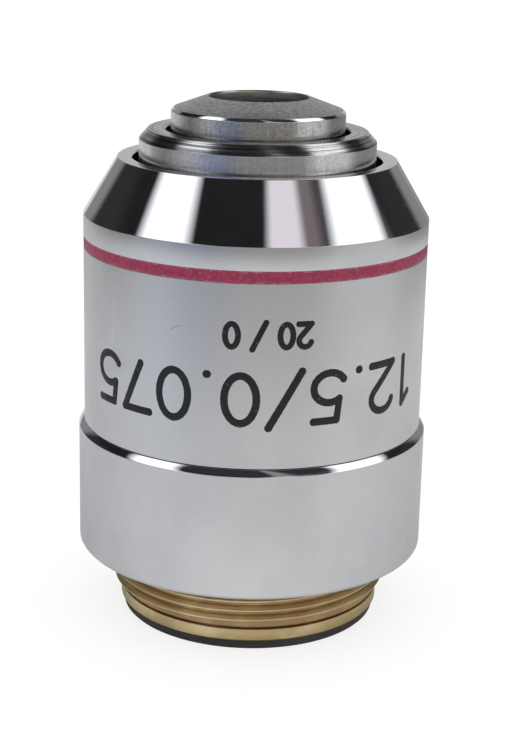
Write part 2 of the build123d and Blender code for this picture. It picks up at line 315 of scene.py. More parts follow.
class Graph:
    """Lays nodes out in one tree and joins them."""

    ROW = 12
    ACROSS = 180
    DOWN = -220

    def __init__(self, tree: bpy.types.NodeTree) -> None:
        """Starts on a tree.

        Args:
            tree: the node tree of a material, a world or a group.
        """
        self.tree = tree
        self.count = 0

    def feed(self, target: bpy.types.NodeSocket, value: Any) -> None:
        """Joins a wire to an input, or sets the input's value.

        Args:
            target: the input.
            value: a wire or a plain value.
        """
        if isinstance(value, Wire):
            self.tree.links.new(value.socket, target)
        else:
            target.default_value = value

    def node(
        self, kind: str, values: dict[Any, Any] | None = None, **settings: Any
    ) -> bpy.types.Node:
        """Adds a node.

        Args:
            kind: the node's type.
            values: its inputs by name or index, each a wire or a plain value.
            settings: the node's own settings.

        Returns:
            The new node.
        """
        node = self.tree.nodes.new(kind)
        down, across = divmod(self.count, self.ROW)
        node.location = (self.ACROSS * across, self.DOWN * down)
        self.count += 1
        for setting, value in settings.items():
            setattr(node, setting, value)
        for key, value in (values or {}).items():
            self.feed(node.inputs[key], value)
        return node

    def wire(
        self, kind: str, values: dict[Any, Any] | None = None, key: Any = 0, **settings: Any
    ) -> Wire:
        """Adds a node and takes its output with this name or index."""
        return Wire(self, self.node(kind, values, **settings).outputs[key])

    def wires(
        self, kind: str, values: dict[Any, Any] | None = None, **settings: Any
    ) -> dict[str, Wire]:
        """Adds a node and takes all its outputs by name."""
        outputs = self.node(kind, values, **settings).outputs
        return {socket.name: Wire(self, socket) for socket in outputs}

    def group(self, effect: Effect, **values: Any) -> dict[str, Wire]:
        """Places a shared effect with these inputs and takes its outputs by name."""
        return self.wires("ShaderNodeGroup", values, node_tree=effect_tree(effect))

    def place(self) -> Wire:
        """The place on the object."""
        return self.wire("ShaderNodeTexCoord", key="Object")

    def math(self, operation: str, *values: Any) -> Wire:
        """What a Math node makes of some values or wires."""
        return self.wire("ShaderNodeMath", dict(enumerate(values)), operation=operation)

    def noise(self, vector: Wire, scale: Any, detail: float, roughness: float = 0.5) -> Wire:
        """Cloudy noise from 0 to 1, looked up at a place."""
        values = {"Vector": vector, "Scale": scale, "Detail": detail, "Roughness": roughness}
        return self.wire("ShaderNodeTexNoise", values, "Fac")

    def rise(
        self, value: Wire, low: float, high: float, past: float = 1.0, before: float = 0.0
    ) -> Wire:
        """A smooth step between low and high, from the level before it to the one past it."""
        values = {0: value, 1: low, 2: high, 3: before, 4: past}
        return self.wire("ShaderNodeMapRange", values, interpolation_type="SMOOTHSTEP")

    def fall(self, value: Wire, low: float, high: float, before: float = 1.0) -> Wire:
        """A smooth step down to nothing between low and high."""
        return self.rise(value, low, high, 0.0, before)

    def between(self, value: Wire, low: float, high: float, soft: float = SOFT) -> Wire:
        """A mask of the stretch between low and high, with soft ends."""
        above = self.rise(value, low - soft, low + soft)
        return above * self.fall(value, high - soft, high + soft)

    def mix(self, factor: Any, first: Any, second: Any) -> Wire:
        """A value between two values: the first at factor 0, the second at 1."""
        return self.wire("ShaderNodeMix", {0: factor, 2: first, 3: second}, data_type="FLOAT")

    def tint(self, factor: Any, first: Any, second: Any, blend: str = "MIX") -> Wire:
        """A colour between two colours.

        Args:
            factor: 0 for the first, 1 for the second.
            first: a colour or wire.
            second: a colour or wire.
            blend: how the second goes over the first.

        Returns:
            The mixed colour.
        """
        first, second = (
            (*colour, 1.0) if isinstance(colour, tuple) else colour for colour in (first, second)
        )
        values = {0: factor, 6: first, 7: second}
        return self.wire("ShaderNodeMix", values, 2, data_type="RGBA", blend_type=blend)


Wires = dict[str, Wire]


def lathe_coordinates(graph: Graph, given: Wires) -> Wires:
    """Radius and height in millimetres and the angle in radians, from Object coordinates.

    Args:
        graph: the group's graph.
        given: its inputs.

    Returns:
        Its outputs by name.
    """
    parts = graph.wires("ShaderNodeSeparateXYZ", {0: graph.place()})
    squares = parts["X"] * parts["X"] + parts["Y"] * parts["Y"]
    return {
        "Radius": graph.math("SQRT", squares) / MM,
        "Height": parts["Z"] / MM,
        "Angle": graph.math("ARCTAN2", parts["Y"], parts["X"]),
    }


def turned_grain(graph: Graph, given: Wires) -> Wires:
    """Tool marks that run round a turned face, finer or coarser, and broken up along it.

    Args:
        graph: the group's graph.
        given: its inputs.

    Returns:
        Its outputs by name.
    """
    lathe = graph.group(Effect.LATHE)
    squeezed = {"Vector": graph.place(), "Scale": (1.0, 1.0, 0.06)}
    upright = graph.wire("ShaderNodeMapping", squeezed)
    along = lathe["Radius"] * given["Rings"] - lathe["Height"] * given["Rings"]
    turn_x = graph.math("COSINE", lathe["Angle"]) * given["Breakup"]
    turn_y = graph.math("SINE", lathe["Angle"]) * given["Breakup"]
    place = graph.wire("ShaderNodeCombineXYZ", {0: along, 1: turn_x, 2: turn_y})
    return {
        "Ring": graph.noise(place, scale=1.0, detail=3.0),
        "Drift": graph.noise(place, scale=0.13, detail=2.0),
        "Axial": graph.noise(upright, scale=7000.0, detail=2.0),
    }


def handling_smudges(graph: Graph, given: Wires) -> Wires:
    """Soft patches that handling leaves on metal.

    Args:
        graph: the group's graph.
        given: its inputs.

    Returns:
        Its outputs by name.
    """
    cloud = graph.noise(graph.place(), given["Scale"], detail=4.0, roughness=0.6)
    level = 0.75 - given["Cover"] * 0.5
    return {"Mask": graph.rise(cloud - level, -0.09, 0.12)}


def fine_specks(graph: Graph, given: Wires) -> Wires:
    """Small round specks, such as pits and grains, on a share of the surface.

    Args:
        graph: the group's graph.
        given: its inputs.

    Returns:
        Its outputs by name.
    """
    place = graph.place()
    cells = graph.wires("ShaderNodeTexVoronoi", {"Vector": place, "Scale": given["Scale"]})
    chance = graph.wire("ShaderNodeSeparateColor", {0: cells["Color"]})
    chosen = graph.math("LESS_THAN", chance, given["Share"])
    spot = graph.rise(given["Size"] - cells["Distance"], 0.0, 0.12)
    return {"Mask": spot * chosen, "Height": graph.noise(place, given["Scale"], detail=2.0)}


def hairline_scratches(graph: Graph, given: Wires) -> Wires:
    """Sparse hairlines in two directions.

    Args:
        graph: the group's graph.
        given: its inputs.

    Returns:
        Its outputs by name.
    """
    place = graph.place()
    masks = []
    for turn, stretch in (((0.3, 0.2, 0.5), 0.03), ((1.1, -0.4, 1.9), 0.045)):
        values = {"Vector": place, "Rotation": turn, "Scale": (1.0, stretch, stretch)}
        turned = graph.wire("ShaderNodeMapping", values)
        line = graph.noise(turned, given["Scale"], detail=5.0)
        masks.append(graph.fall(abs(line - 0.5), 0.0, 0.006))
    gate = graph.rise(graph.noise(place, scale=420.0, detail=1.0), 0.56, 0.66)
    return {"Mask": graph.math("MAXIMUM", *masks) * gate * given["Amount"]}


RECIPES: dict[Effect, tuple[Callable[[Graph, Wires], Wires], dict[str, float]]] = {
    Effect.LATHE: (lathe_coordinates, {}),
    Effect.GRAIN: (turned_grain, {"Rings": 14.0, "Breakup": 1.5}),
    Effect.SMUDGE: (handling_smudges, {"Scale": 160.0, "Cover": 0.5}),
    Effect.SPECK: (fine_specks, {"Scale": 3000.0, "Share": 0.2, "Size": 0.3}),
    Effect.SCRATCH: (hairline_scratches, {"Scale": 260.0, "Amount": 0.5}),
}


def effect_tree(effect: Effect) -> bpy.types.NodeTree:
    """The tree of a shared effect, built once.

    Args:
        effect: which one.

    Returns:
        Its node group.
    """
    made = bpy.data.node_groups.get(effect.value)
    if made is not None:
        return made
    draw, inputs = RECIPES[effect]
    tree = bpy.data.node_groups.new(effect.value, "ShaderNodeTree")
    for label, value in inputs.items():
        socket = tree.interface.new_socket(label, in_out="INPUT", socket_type="NodeSocketFloat")
        socket.default_value = value
    graph = Graph(tree)
    drawn = draw(graph, graph.wires("NodeGroupInput"))
    for label in drawn:
        tree.interface.new_socket(label, in_out="OUTPUT", socket_type="NodeSocketFloat")
    graph.node("NodeGroupOutput", drawn)
    return tree


# Finishes


@dataclass(frozen=True)
class Look:
    """What a finish feeds to its shader. The bump's depth is in millimetres."""

    colour: Wire
    roughness: Wire
    height: Wire | None = None
    depth: float = 0.0


@dataclass(frozen=True)
class Finish:
    """A material on one Principled shader, with the constants on its own sockets."""

    name: str
    SHADER = {"Metallic": 1.0}

    def look(self, graph: Graph) -> Look:
        """What the finish feeds to its shader, drawn by each kind of finish."""
        raise NotImplementedError

    def material(self) -> Material:
        """Makes the material and feeds the look to its shader.

        Returns:
            The finished material.
        """
        material = bpy.data.materials.new(self.name)
        material.use_nodes = True
        graph = Graph(material.node_tree)
        shader = material.node_tree.nodes["Principled BSDF"]
        for label, value in self.SHADER.items():
            shader.inputs[label].default_value = value
        look = self.look(graph)
        graph.feed(shader.inputs["Base Color"], look.colour)
        graph.feed(shader.inputs["Roughness"], look.roughness)
        if look.height is not None:
            values = {"Height": look.height, "Distance": look.depth * MM, "Strength": 1.0}
            graph.feed(shader.inputs["Normal"], graph.wire("ShaderNodeBump", values))
        return material


@dataclass(frozen=True)
class BarrelPlate(Finish):
    """Satin plating with a mirror-polished region above one height."""

    polish_from: float
    polish_to: float
    seam_shade_below: float = 0.0
    nick_angle: float | None = None
    nick_height: float = 0.0
    nick_slope: float = 0.42
    nick_bow: float = 0.35
    radius: float = 12.35
    satin: Colour = (0.665, 0.670, 0.676)
    satin_dull: Colour = (0.625, 0.630, 0.636)
    pit: Colour = (0.44, 0.44, 0.45)
    mirror: Colour = (0.80, 0.80, 0.81)
    # painted shade: the near-black colour of the line along the seam
    seam_shade: Colour = (0.06, 0.06, 0.065)
    nicked: Colour = (0.16, 0.16, 0.17)
    satin_roughness: float = 0.36
    line_roughness: float = 0.30
    mirror_roughness: float = 0.045
    scratch_roughness: float = 0.22

    def nick(self, graph: Graph, lathe: Wires) -> Wire:
        """One short curved scratch on the wall.

        Args:
            graph: the material's graph.
            lathe: the angle and height.

        Returns:
            Its mask.
        """
        along = (lathe["Angle"] - math.radians(self.nick_angle - 90)) * self.radius
        curve = along * self.nick_slope - along * along * self.nick_bow
        thin = graph.fall(abs(lathe["Height"] - (curve + self.nick_height)), 0.012, 0.040)
        return thin * graph.fall(abs(along), 0.36, 0.46)

    def look(self, graph: Graph) -> Look:
        """Satin with pits and smudges, a mirror region, painted shade in the seam and the nick.

        Args:
            graph: the material's graph.

        Returns:
            The colour, the roughness and the bump.
        """
        lathe = graph.group(Effect.LATHE)
        ring = graph.group(Effect.GRAIN, Rings=16.0, Breakup=2.0)["Ring"]
        smudge = graph.group(Effect.SMUDGE, Scale=130.0, Cover=0.45)["Mask"]
        speck = graph.group(Effect.SPECK, Scale=5200.0, Share=0.22)
        scratch = graph.group(Effect.SCRATCH, Amount=0.6)["Mask"]
        polished = graph.between(lathe["Height"], self.polish_from, self.polish_to)
        satin = graph.tint(smudge * 0.8, self.satin, self.satin_dull)
        satin = graph.tint(speck["Mask"] * 0.25, satin, self.pit)
        colour = graph.tint(polished, satin, self.mirror)
        # painted shade: the barrel turns near black at its bottom edge by the seam, standing in
        # for the seam's shadow
        seam = self.seam_shade_below
        seam_shaded = graph.fall(lathe["Height"], seam - 0.05, seam + 0.03, 0.85)
        colour = graph.tint(seam_shaded, colour, self.seam_shade)
        if self.nick_angle is not None:
            colour = graph.tint(self.nick(graph, lathe) * 0.6, colour, self.nicked)
        satin_rough = graph.mix(smudge, self.satin_roughness, self.satin_roughness + 0.06)
        lined = graph.mix(ring * 0.25, satin_rough, self.line_roughness)
        mirrored = graph.mix(smudge, self.mirror_roughness, self.mirror_roughness + 0.035)
        rough = graph.mix(polished, lined, mirrored)
        rough = graph.mix(scratch, rough, self.scratch_roughness)
        height = graph.mix(polished, speck["Height"] * 0.6 + ring * 0.5, 0.5)
        return Look(colour, rough, height, depth=0.006)


@dataclass(frozen=True)
class TurnedPlate(Finish):
    """Plating over lathe marks: a ground wall below one height, a turned face above it.

    A narrow bevel between two heights is polished, and so is a lacquered bore. On a piece
    without such a bevel the two heights lie above it.
    """

    wall: Colour
    wall_dull: Colour
    face: Colour
    face_dull: Colour
    wall_roughness: float
    face_roughness: float
    face_from: float
    bore_radius: float
    ring_depth: float
    bevel_from: float = 90.0
    bevel_to: float = 91.0
    bevel_radius: float = 0.0
    face_rings: float = 6.5
    # how strongly the face's ring lines of painted shade show
    groove_shade_level: float = 0.0
    face_mottle: float = 0.8
    # painted shade: the near-black of the ring lines in the lathe grooves
    groove_shade_colour: Colour = (0.10, 0.10, 0.105)
    bevel_colour: Colour = (0.86, 0.86, 0.87)
    bore_colour: Colour = (0.56, 0.53, 0.48)
    bevel_roughness: float = 0.06
    smudge_roughness: float = 0.36
    scratch_roughness: float = 0.3

    def look(self, graph: Graph) -> Look:
        """A streaky wall, a mottled face with dark ring lines of painted shade, and the polished
        bevel and bore.

        Args:
            graph: the material's graph.

        Returns:
            The colour, the roughness and the bump.
        """
        lathe = graph.group(Effect.LATHE)
        grain = graph.group(Effect.GRAIN, Rings=self.face_rings, Breakup=0.8)
        smudge = graph.group(Effect.SMUDGE, Scale=260.0, Cover=0.55)["Mask"]
        fine = graph.group(Effect.SPECK, Scale=5200.0)["Height"]
        scratch = graph.group(Effect.SCRATCH, Amount=0.5)["Mask"]
        face = graph.rise(lathe["Height"], self.face_from - SOFT, self.face_from + SOFT)
        bevel = graph.between(lathe["Height"], self.bevel_from, self.bevel_to)
        bevel *= graph.rise(lathe["Radius"], self.bevel_radius - SOFT, self.bevel_radius)
        bore = graph.fall(lathe["Radius"], self.bore_radius, self.bore_radius + SOFT)
        streak = graph.rise(grain["Axial"], 0.30, 0.70, 0.4) + graph.rise(fine, 0.30, 0.70, 0.6)
        mottle = graph.rise(fine, 0.35, 0.65, self.face_mottle)
        # painted shade: dark ring lines in the face's lathe grooves, which break its highlight
        # into thin lines
        groove_shade = graph.rise(grain["Ring"], 0.44, 0.58, self.groove_shade_level)
        turned = graph.tint(mottle, self.face, self.face_dull)
        turned = graph.tint(groove_shade, turned, self.groove_shade_colour)
        colour = graph.tint(face, graph.tint(streak, self.wall, self.wall_dull), turned)
        colour = graph.tint(bevel, colour, self.bevel_colour)
        colour = graph.tint(bore, colour, self.bore_colour)
        ring = graph.rise(grain["Ring"], 0.30, 0.70)
        wall_rough = graph.mix(streak, self.wall_roughness - 0.04, self.wall_roughness + 0.04)
        face_rough = graph.mix(ring, self.face_roughness * 0.8, self.face_roughness * 1.25)
        rough = graph.mix(face, wall_rough, face_rough)
        rough = graph.mix(smudge * 0.3, rough, self.smudge_roughness)
        rough = graph.mix(bevel, rough, self.bevel_roughness)
        rough = graph.mix(scratch, rough, self.scratch_roughness)
        height = graph.mix(face, grain["Ring"] * 0.3, grain["Ring"])
        return Look(colour, rough, graph.mix(bevel, height, 0.5), self.ring_depth)


@dataclass(frozen=True)
class Brass(Finish):
    """Bare turned brass, bright on the crests and tarnished red-brown in the grooves."""

    bright: Colour = (0.83, 0.71, 0.41)
    dull: Colour = (0.60, 0.48, 0.25)
    tarnish: Colour = (0.44, 0.27, 0.15)
    root_radius: float = 9.62
    crest_radius: float = 10.06
    thread_from: float = 1.64
    thread_whole: float = 1.74

    def look(self, graph: Graph) -> Look:
        """Stained brass, darker and rougher towards the thread's root.

        Args:
            graph: the material's graph.

        Returns:
            The colour, the roughness and the bump.
        """
        lathe = graph.group(Effect.LATHE)
        grain = graph.group(Effect.GRAIN, Rings=11.0, Breakup=2.5)
        smudge = graph.group(Effect.SMUDGE, Scale=420.0, Cover=0.6)["Mask"]
        stain = graph.group(Effect.SMUDGE, Scale=190.0, Cover=0.6)["Mask"]
        deep = graph.fall(lathe["Radius"], self.root_radius, self.crest_radius)
        deep *= graph.rise(lathe["Height"], self.thread_from, self.thread_whole)
        colour = graph.tint(stain, self.bright, self.dull)
        colour = graph.tint(grain["Drift"] * 0.5, colour, self.dull)
        colour = graph.tint(smudge * 0.22, colour, self.tarnish)
        colour = graph.tint(deep * graph.mix(smudge, 0.55, 1.0), colour, self.tarnish)
        rough = graph.mix(deep, graph.mix(grain["Ring"], 0.24, 0.38), 0.5)
        return Look(colour, rough, grain["Ring"], depth=0.010)


@dataclass(frozen=True)
class DarkFinish(Finish):
    """A black coating over turned metal, as on the ring, the cells and the stops."""

    colour: Colour
    worn: Colour
    roughness: float
    SHADER = {"Metallic": 0.0, "Specular IOR Level": 0.45}

    def look(self, graph: Graph) -> Look:
        """Black with worn patches and specks, over fine turning.

        Args:
            graph: the material's graph.

        Returns:
            The colour, the roughness and the bump.
        """
        ring = graph.group(Effect.GRAIN, Rings=12.0, Breakup=1.2)["Ring"]
        smudge = graph.group(Effect.SMUDGE, Scale=300.0, Cover=0.5)["Mask"]
        speck = graph.group(Effect.SPECK, Scale=2600.0, Share=0.18)
        colour = graph.tint(smudge * 0.5, self.colour, self.worn)
        colour = graph.tint(speck["Mask"] * 0.3, colour, self.worn)
        rough = graph.mix(ring, self.roughness - 0.06, self.roughness + 0.08)
        return Look(colour, rough, ring + speck["Height"] * 0.5, depth=0.008)


@dataclass(frozen=True)
class BandEnamel(Finish):
    """Raspberry enamel, grainy, thinner along its two edges."""

    low: float
    high: float
    colour: Colour = (0.36, 0.038, 0.095)
    deep: Colour = (0.25, 0.018, 0.058)
    thin: Colour = (0.44, 0.20, 0.25)
    SHADER = {"Specular IOR Level": 0.4}

    def look(self, graph: Graph) -> Look:
        """Grains of two reds, paler specks and ragged pale edges.

        Args:
            graph: the material's graph.

        Returns:
            The colour, the roughness and the bump.
        """
        lathe = graph.group(Effect.LATHE)
        speck = graph.group(Effect.SPECK, Scale=3300.0, Share=0.35, Size=0.38)
        smudge = graph.group(Effect.SMUDGE, Scale=700.0, Cover=0.5)["Mask"]
        grain = speck["Height"]
        off = abs(lathe["Height"] - (self.low + self.high) / 2)
        half = (self.high - self.low) / 2
        edge = graph.rise(off + (grain - 0.5) * 0.6, half - 0.10, half + 0.02)
        colour = graph.tint(graph.rise(grain, 0.38, 0.62, 0.75), self.colour, self.deep)
        colour = graph.tint(smudge * 0.2, colour, self.deep)
        colour = graph.tint(speck["Mask"] * 0.15, colour, self.thin)
        colour = graph.tint(edge * 0.7, colour, self.thin)
        return Look(colour, graph.mix(grain, 0.38, 0.6), grain, depth=0.02)


@dataclass(frozen=True)
class MarkPaint(Finish):
    """Black paint in engraved strokes, with pinholes."""

    colour: Colour = (0.011, 0.011, 0.013)
    pinhole: Colour = (0.07, 0.07, 0.075)
    SHADER = {"Specular IOR Level": 0.35}

    def look(self, graph: Graph) -> Look:
        """Black with pinholes, a little uneven.

        Args:
            graph: the material's graph.

        Returns:
            The colour, the roughness and the bump.
        """
        speck = graph.group(Effect.SPECK, Scale=3600.0, Share=0.12)
        smudge = graph.group(Effect.SMUDGE, Scale=900.0, Cover=0.4)["Mask"]
        colour = graph.tint(speck["Mask"], self.colour, self.pinhole)
        return Look(colour, graph.mix(smudge, 0.42, 0.6), speck["Height"], depth=0.008)


@dataclass(frozen=True)
class CoatedGlass(Finish):
    """Optical glass with a thin anti-reflection coating and a little dust."""

    clear: Colour = (0.96, 0.985, 0.975)
    dust: Colour = (0.75, 0.75, 0.73)
    SHADER = {
        "Metallic": 0.0,
        "Transmission Weight": 1.0,
        "IOR": 1.58,
        "Thin Film Thickness": 430.0,
        "Thin Film IOR": 1.38,
    }

    def look(self, graph: Graph) -> Look:
        """Clear, with faint smudges and rough specks of dust.

        Args:
            graph: the material's graph.

        Returns:
            The colour, the roughness and the bump.
        """
        speck = graph.group(Effect.SPECK, Scale=2400.0, Share=0.02, Size=0.25)["Mask"]
        smudge = graph.group(Effect.SMUDGE, Scale=330.0, Cover=0.35)["Mask"]
        rough = graph.mix(speck, graph.mix(smudge, 0.005, 0.03), 0.4)
        return Look(graph.tint(speck, self.clear, self.dust), rough)


# Sub-assemblies


@dataclass
class RearMount:
    """The brass mount with its standard thread, and the black ring behind it."""

    bore: float = 7.25
    foot: float = 0.67
    pilot: float = 9.65
    pilot_edge: float = 0.15
    pilot_top: float = 1.62
    relief: float = 9.30
    thread_low: float = 1.77
    thread_high: float = 4.62
    undercut: float = 9.25
    top: float = 9.32
    top_edge: float = 0.15
    core: float = 9.69
    core_edge: float = 0.1
    crest: float = 10.115
    crest_edge: float = 0.05
    pitch: float = 0.7056
    turns: float = 3.5
    start_share: float = 0.30
    foot_share: float = 0.485
    base_share: float = 0.41
    shoulder: float = 0.105
    flat: float = 0.045
    runout: float = 0.28
    steps_a_turn: int = 120
    edge: float = 0.025

    def core_section(self) -> list[Point]:
        """The half section of the mount without its thread ridge.

        Returns:
            Its corners (radius, height) in order.
        """
        return [
            (self.bore, self.foot),
            (self.pilot - self.pilot_edge, self.foot),
            (self.pilot, self.foot + self.pilot_edge),
            (self.pilot, self.pilot_top),
            (self.relief, self.pilot_top),
            (self.relief, self.thread_low),
            (self.core - self.core_edge, self.thread_low),
            (self.core, self.thread_low + self.core_edge),
            (self.core, self.thread_high - self.core_edge),
            (self.core - self.core_edge, self.thread_high),
            (self.undercut, self.thread_high),
            (self.undercut, self.top - self.top_edge),
            (self.undercut - self.top_edge, self.top),
            (self.bore, self.top),
        ]

    def ridge_section(self) -> list[Point]:
        """The closed section of the thread ridge about its own middle height.

        Returns:
            Its corners (radius, height) in order.
        """
        rising = [
            (self.core - self.core_edge, -self.pitch * self.foot_share),
            (self.core, -self.pitch * self.base_share),
            (self.crest - self.crest_edge, -self.shoulder),
            (self.crest, -self.flat),
        ]
        return rising + [(radius, -height) for radius, height in reversed(rising)]

    def ridge(self) -> Piece:
        """Sweeps the ridge along its right-handed helix and runs it out at both ends.

        Returns:
            The ridge's object.
        """
        low = self.thread_low + self.pitch * self.start_share
        corners = [(radius, 0.0, low + height) for radius, height in self.ridge_section()]
        ridge = draw_chain("thread_ridge", corners + corners[:1])
        bpy.ops.mesh.select_all(action="SELECT")
        bpy.ops.mesh.remove_doubles(threshold=MERGE_DISTANCE)
        bpy.ops.object.mode_set(mode="OBJECT")
        screw = ridge.modifiers.new("helix", "SCREW")
        screw.angle = math.tau * self.turns
        screw.screw_offset = self.pitch * self.turns * MM
        screw.steps = round(self.steps_a_turn * self.turns)
        screw.render_steps = screw.steps
        screw.use_merge_vertices = False
        apply_modifiers(ridge)
        self.run_out(ridge, low)
        bpy.ops.object.mode_set(mode="EDIT")
        bpy.ops.mesh.select_all(action="DESELECT")
        bpy.ops.mesh.select_mode(type="VERT")
        bpy.ops.mesh.select_non_manifold()
        bpy.ops.mesh.fill()
        close_up()
        finish_edges(ridge, 0.0)
        return ridge

    def run_out(self, ridge: Piece, low: float) -> None:
        """Sinks both ends of the ridge smoothly into the core.

        Args:
            ridge: the swept ridge.
            low: the height where its middle starts.
        """
        foot = self.core - self.core_edge
        for vertex in ridge.data.vertices:
            place = vertex.co
            part = (math.atan2(place.y, place.x) % math.tau) / math.tau
            progress = round((place.z / MM - low) / self.pitch - part) + part
            inside = min(progress, self.turns - progress) / self.runout
            inside = max(0.0, min(1.0, inside))
            inside = inside * inside * (3 - 2 * inside)
            radius = math.hypot(place.x, place.y) / MM
            wanted = foot + (radius - foot) * inside
            place.x *= wanted / radius
            place.y *= wanted / radius

    def build(self, brass: Material, black: Material) -> None:
        """Builds the mount and dresses it and the ring.

        Args:
            brass: the mount's finish.
            black: the ring's finish.
        """
        mount = turn_piece("thread_mount_cut", self.core_section(), self.edge)
        mount = join_pieces([mount, self.ridge()])
        settle(mount, brass, "thread_mount")
        dress(black, "rear_ring")


@dataclass
class Barrels:
    """The lower and upper barrel and the colour band between cone and numerals."""

    mount_bore: float = 7.25
    shoulder: float = 5.02
    shoulder_bore: float = 9.28
    land_radius: float = 10.35
    land_height: float = 0.15
    web: float = 9.32
    web_top: float = 11.02
    lower_radius: float = 12.75
    foot_reach: float = 1.0
    foot_height: float = 0.55
    chamfer: float = 14.15
    seam: float = 14.55
    neck_radius: float = 11.2
    neck_bore: float = 10.0
    neck_top: float = 17.95
    neck_edge: float = 0.2
    upper_radius: float = 12.35
    seam_edge: float = 0.07
    socket: float = 11.23
    socket_top: float = 18.2
    bore: float = 9.7
    ledge: float = 29.9
    band_low: float = 27.34
    band_high: float = 28.18
    band_depth: float = 0.2
    band_sink: float = 0.035
    band_dome: float = 0.032
    dome_angle: float = 88
    cone: float = 29.75
    cone_top: float = 9.93
    rim: float = 33.76
    rim_radius: float = 8.87
    rim_edge: float = 0.12
    arc_count: int = 9
    past: float = 0.01
    beyond: float = 1.0

    def lower_section(self) -> list[Point]:
        """The half section of the lower barrel.

        Returns:
            Its corners (radius, height) in order.
        """
        foot_centre = (self.lower_radius - self.foot_reach, self.shoulder + self.foot_height)
        foot_radii = (self.foot_reach, self.foot_height)
        return [
            *arc_points(foot_centre, foot_radii, 270, 360, self.arc_count),
            (self.lower_radius, self.chamfer),
            (self.upper_radius, self.seam),
            (self.neck_radius, self.seam),
            (self.neck_radius, self.neck_top - self.neck_edge),
            (self.neck_radius - self.neck_edge, self.neck_top),
            (self.neck_bore, self.neck_top),
            (self.neck_bore, self.web_top),
            (self.mount_bore, self.web_top),
            (self.mount_bore, self.web),
            (self.shoulder_bore, self.web),
            (self.shoulder_bore, self.shoulder + self.land_height),
            (self.land_radius, self.shoulder + self.land_height),
            (self.land_radius, self.shoulder),
        ]

    def upper_section(self) -> list[Point]:
        """The half section of the upper barrel.

        Returns:
            Its corners (radius, height) in order.
        """
        groove = self.upper_radius - self.band_depth
        return [
            (self.socket, self.seam),
            (self.upper_radius - self.seam_edge, self.seam),
            (self.upper_radius, self.seam + self.seam_edge),
            (self.upper_radius, self.band_low),
            (groove, self.band_low),
            (groove, self.band_high),
            (self.upper_radius, self.band_high),
            (self.upper_radius, self.cone),
            (self.cone_top, self.rim),
            (self.rim_radius + self.rim_edge, self.rim),
            (self.rim_radius, self.rim - self.rim_edge),
            (self.rim_radius, self.ledge),
            (self.bore, self.ledge),
            (self.bore, self.socket_top),
            (self.socket, self.socket_top),
        ]

    def band_section(self) -> list[Point]:
        """The half section of the enamel, a little domed in its groove.

        Returns:
            Its corners (radius, height) in order.
        """
        groove = self.upper_radius - self.band_depth
        centre = (self.upper_radius - self.band_sink, (self.band_low + self.band_high) / 2)
        radii = (self.band_dome, (self.band_high - self.band_low) / 2)
        dome = arc_points(centre, radii, -self.dome_angle, self.dome_angle, self.arc_count)
        return [(groove, self.band_low), *dome, (groove, self.band_high)]

    def build(self, enamel: Material) -> None:
        """Builds both barrels and the band.

        Args:
            enamel: the band's finish.
        """
        lower_plate = BarrelPlate("lower_barrel_plate", self.chamfer, self.seam + self.past)
        upper_plate = BarrelPlate(
            "upper_barrel_plate",
            self.cone,
            self.rim + self.beyond,
            # painted shade along the upper barrel's bottom edge, at the seam
            seam_shade_below=self.seam + self.seam_edge,
            nick_angle=-24.5,
            nick_height=24.1,
        )
        lower = turn_piece("lower_barrel_turned", self.lower_section())
        settle(lower, lower_plate.material(), "lower_barrel")
        upper = turn_piece("upper_barrel_turned", self.upper_section())
        settle(upper, upper_plate.material(), "upper_barrel")
        band = turn_piece("colour_band_enamel", self.band_section(), 0.0)
        settle(band, enamel, "colour_band")


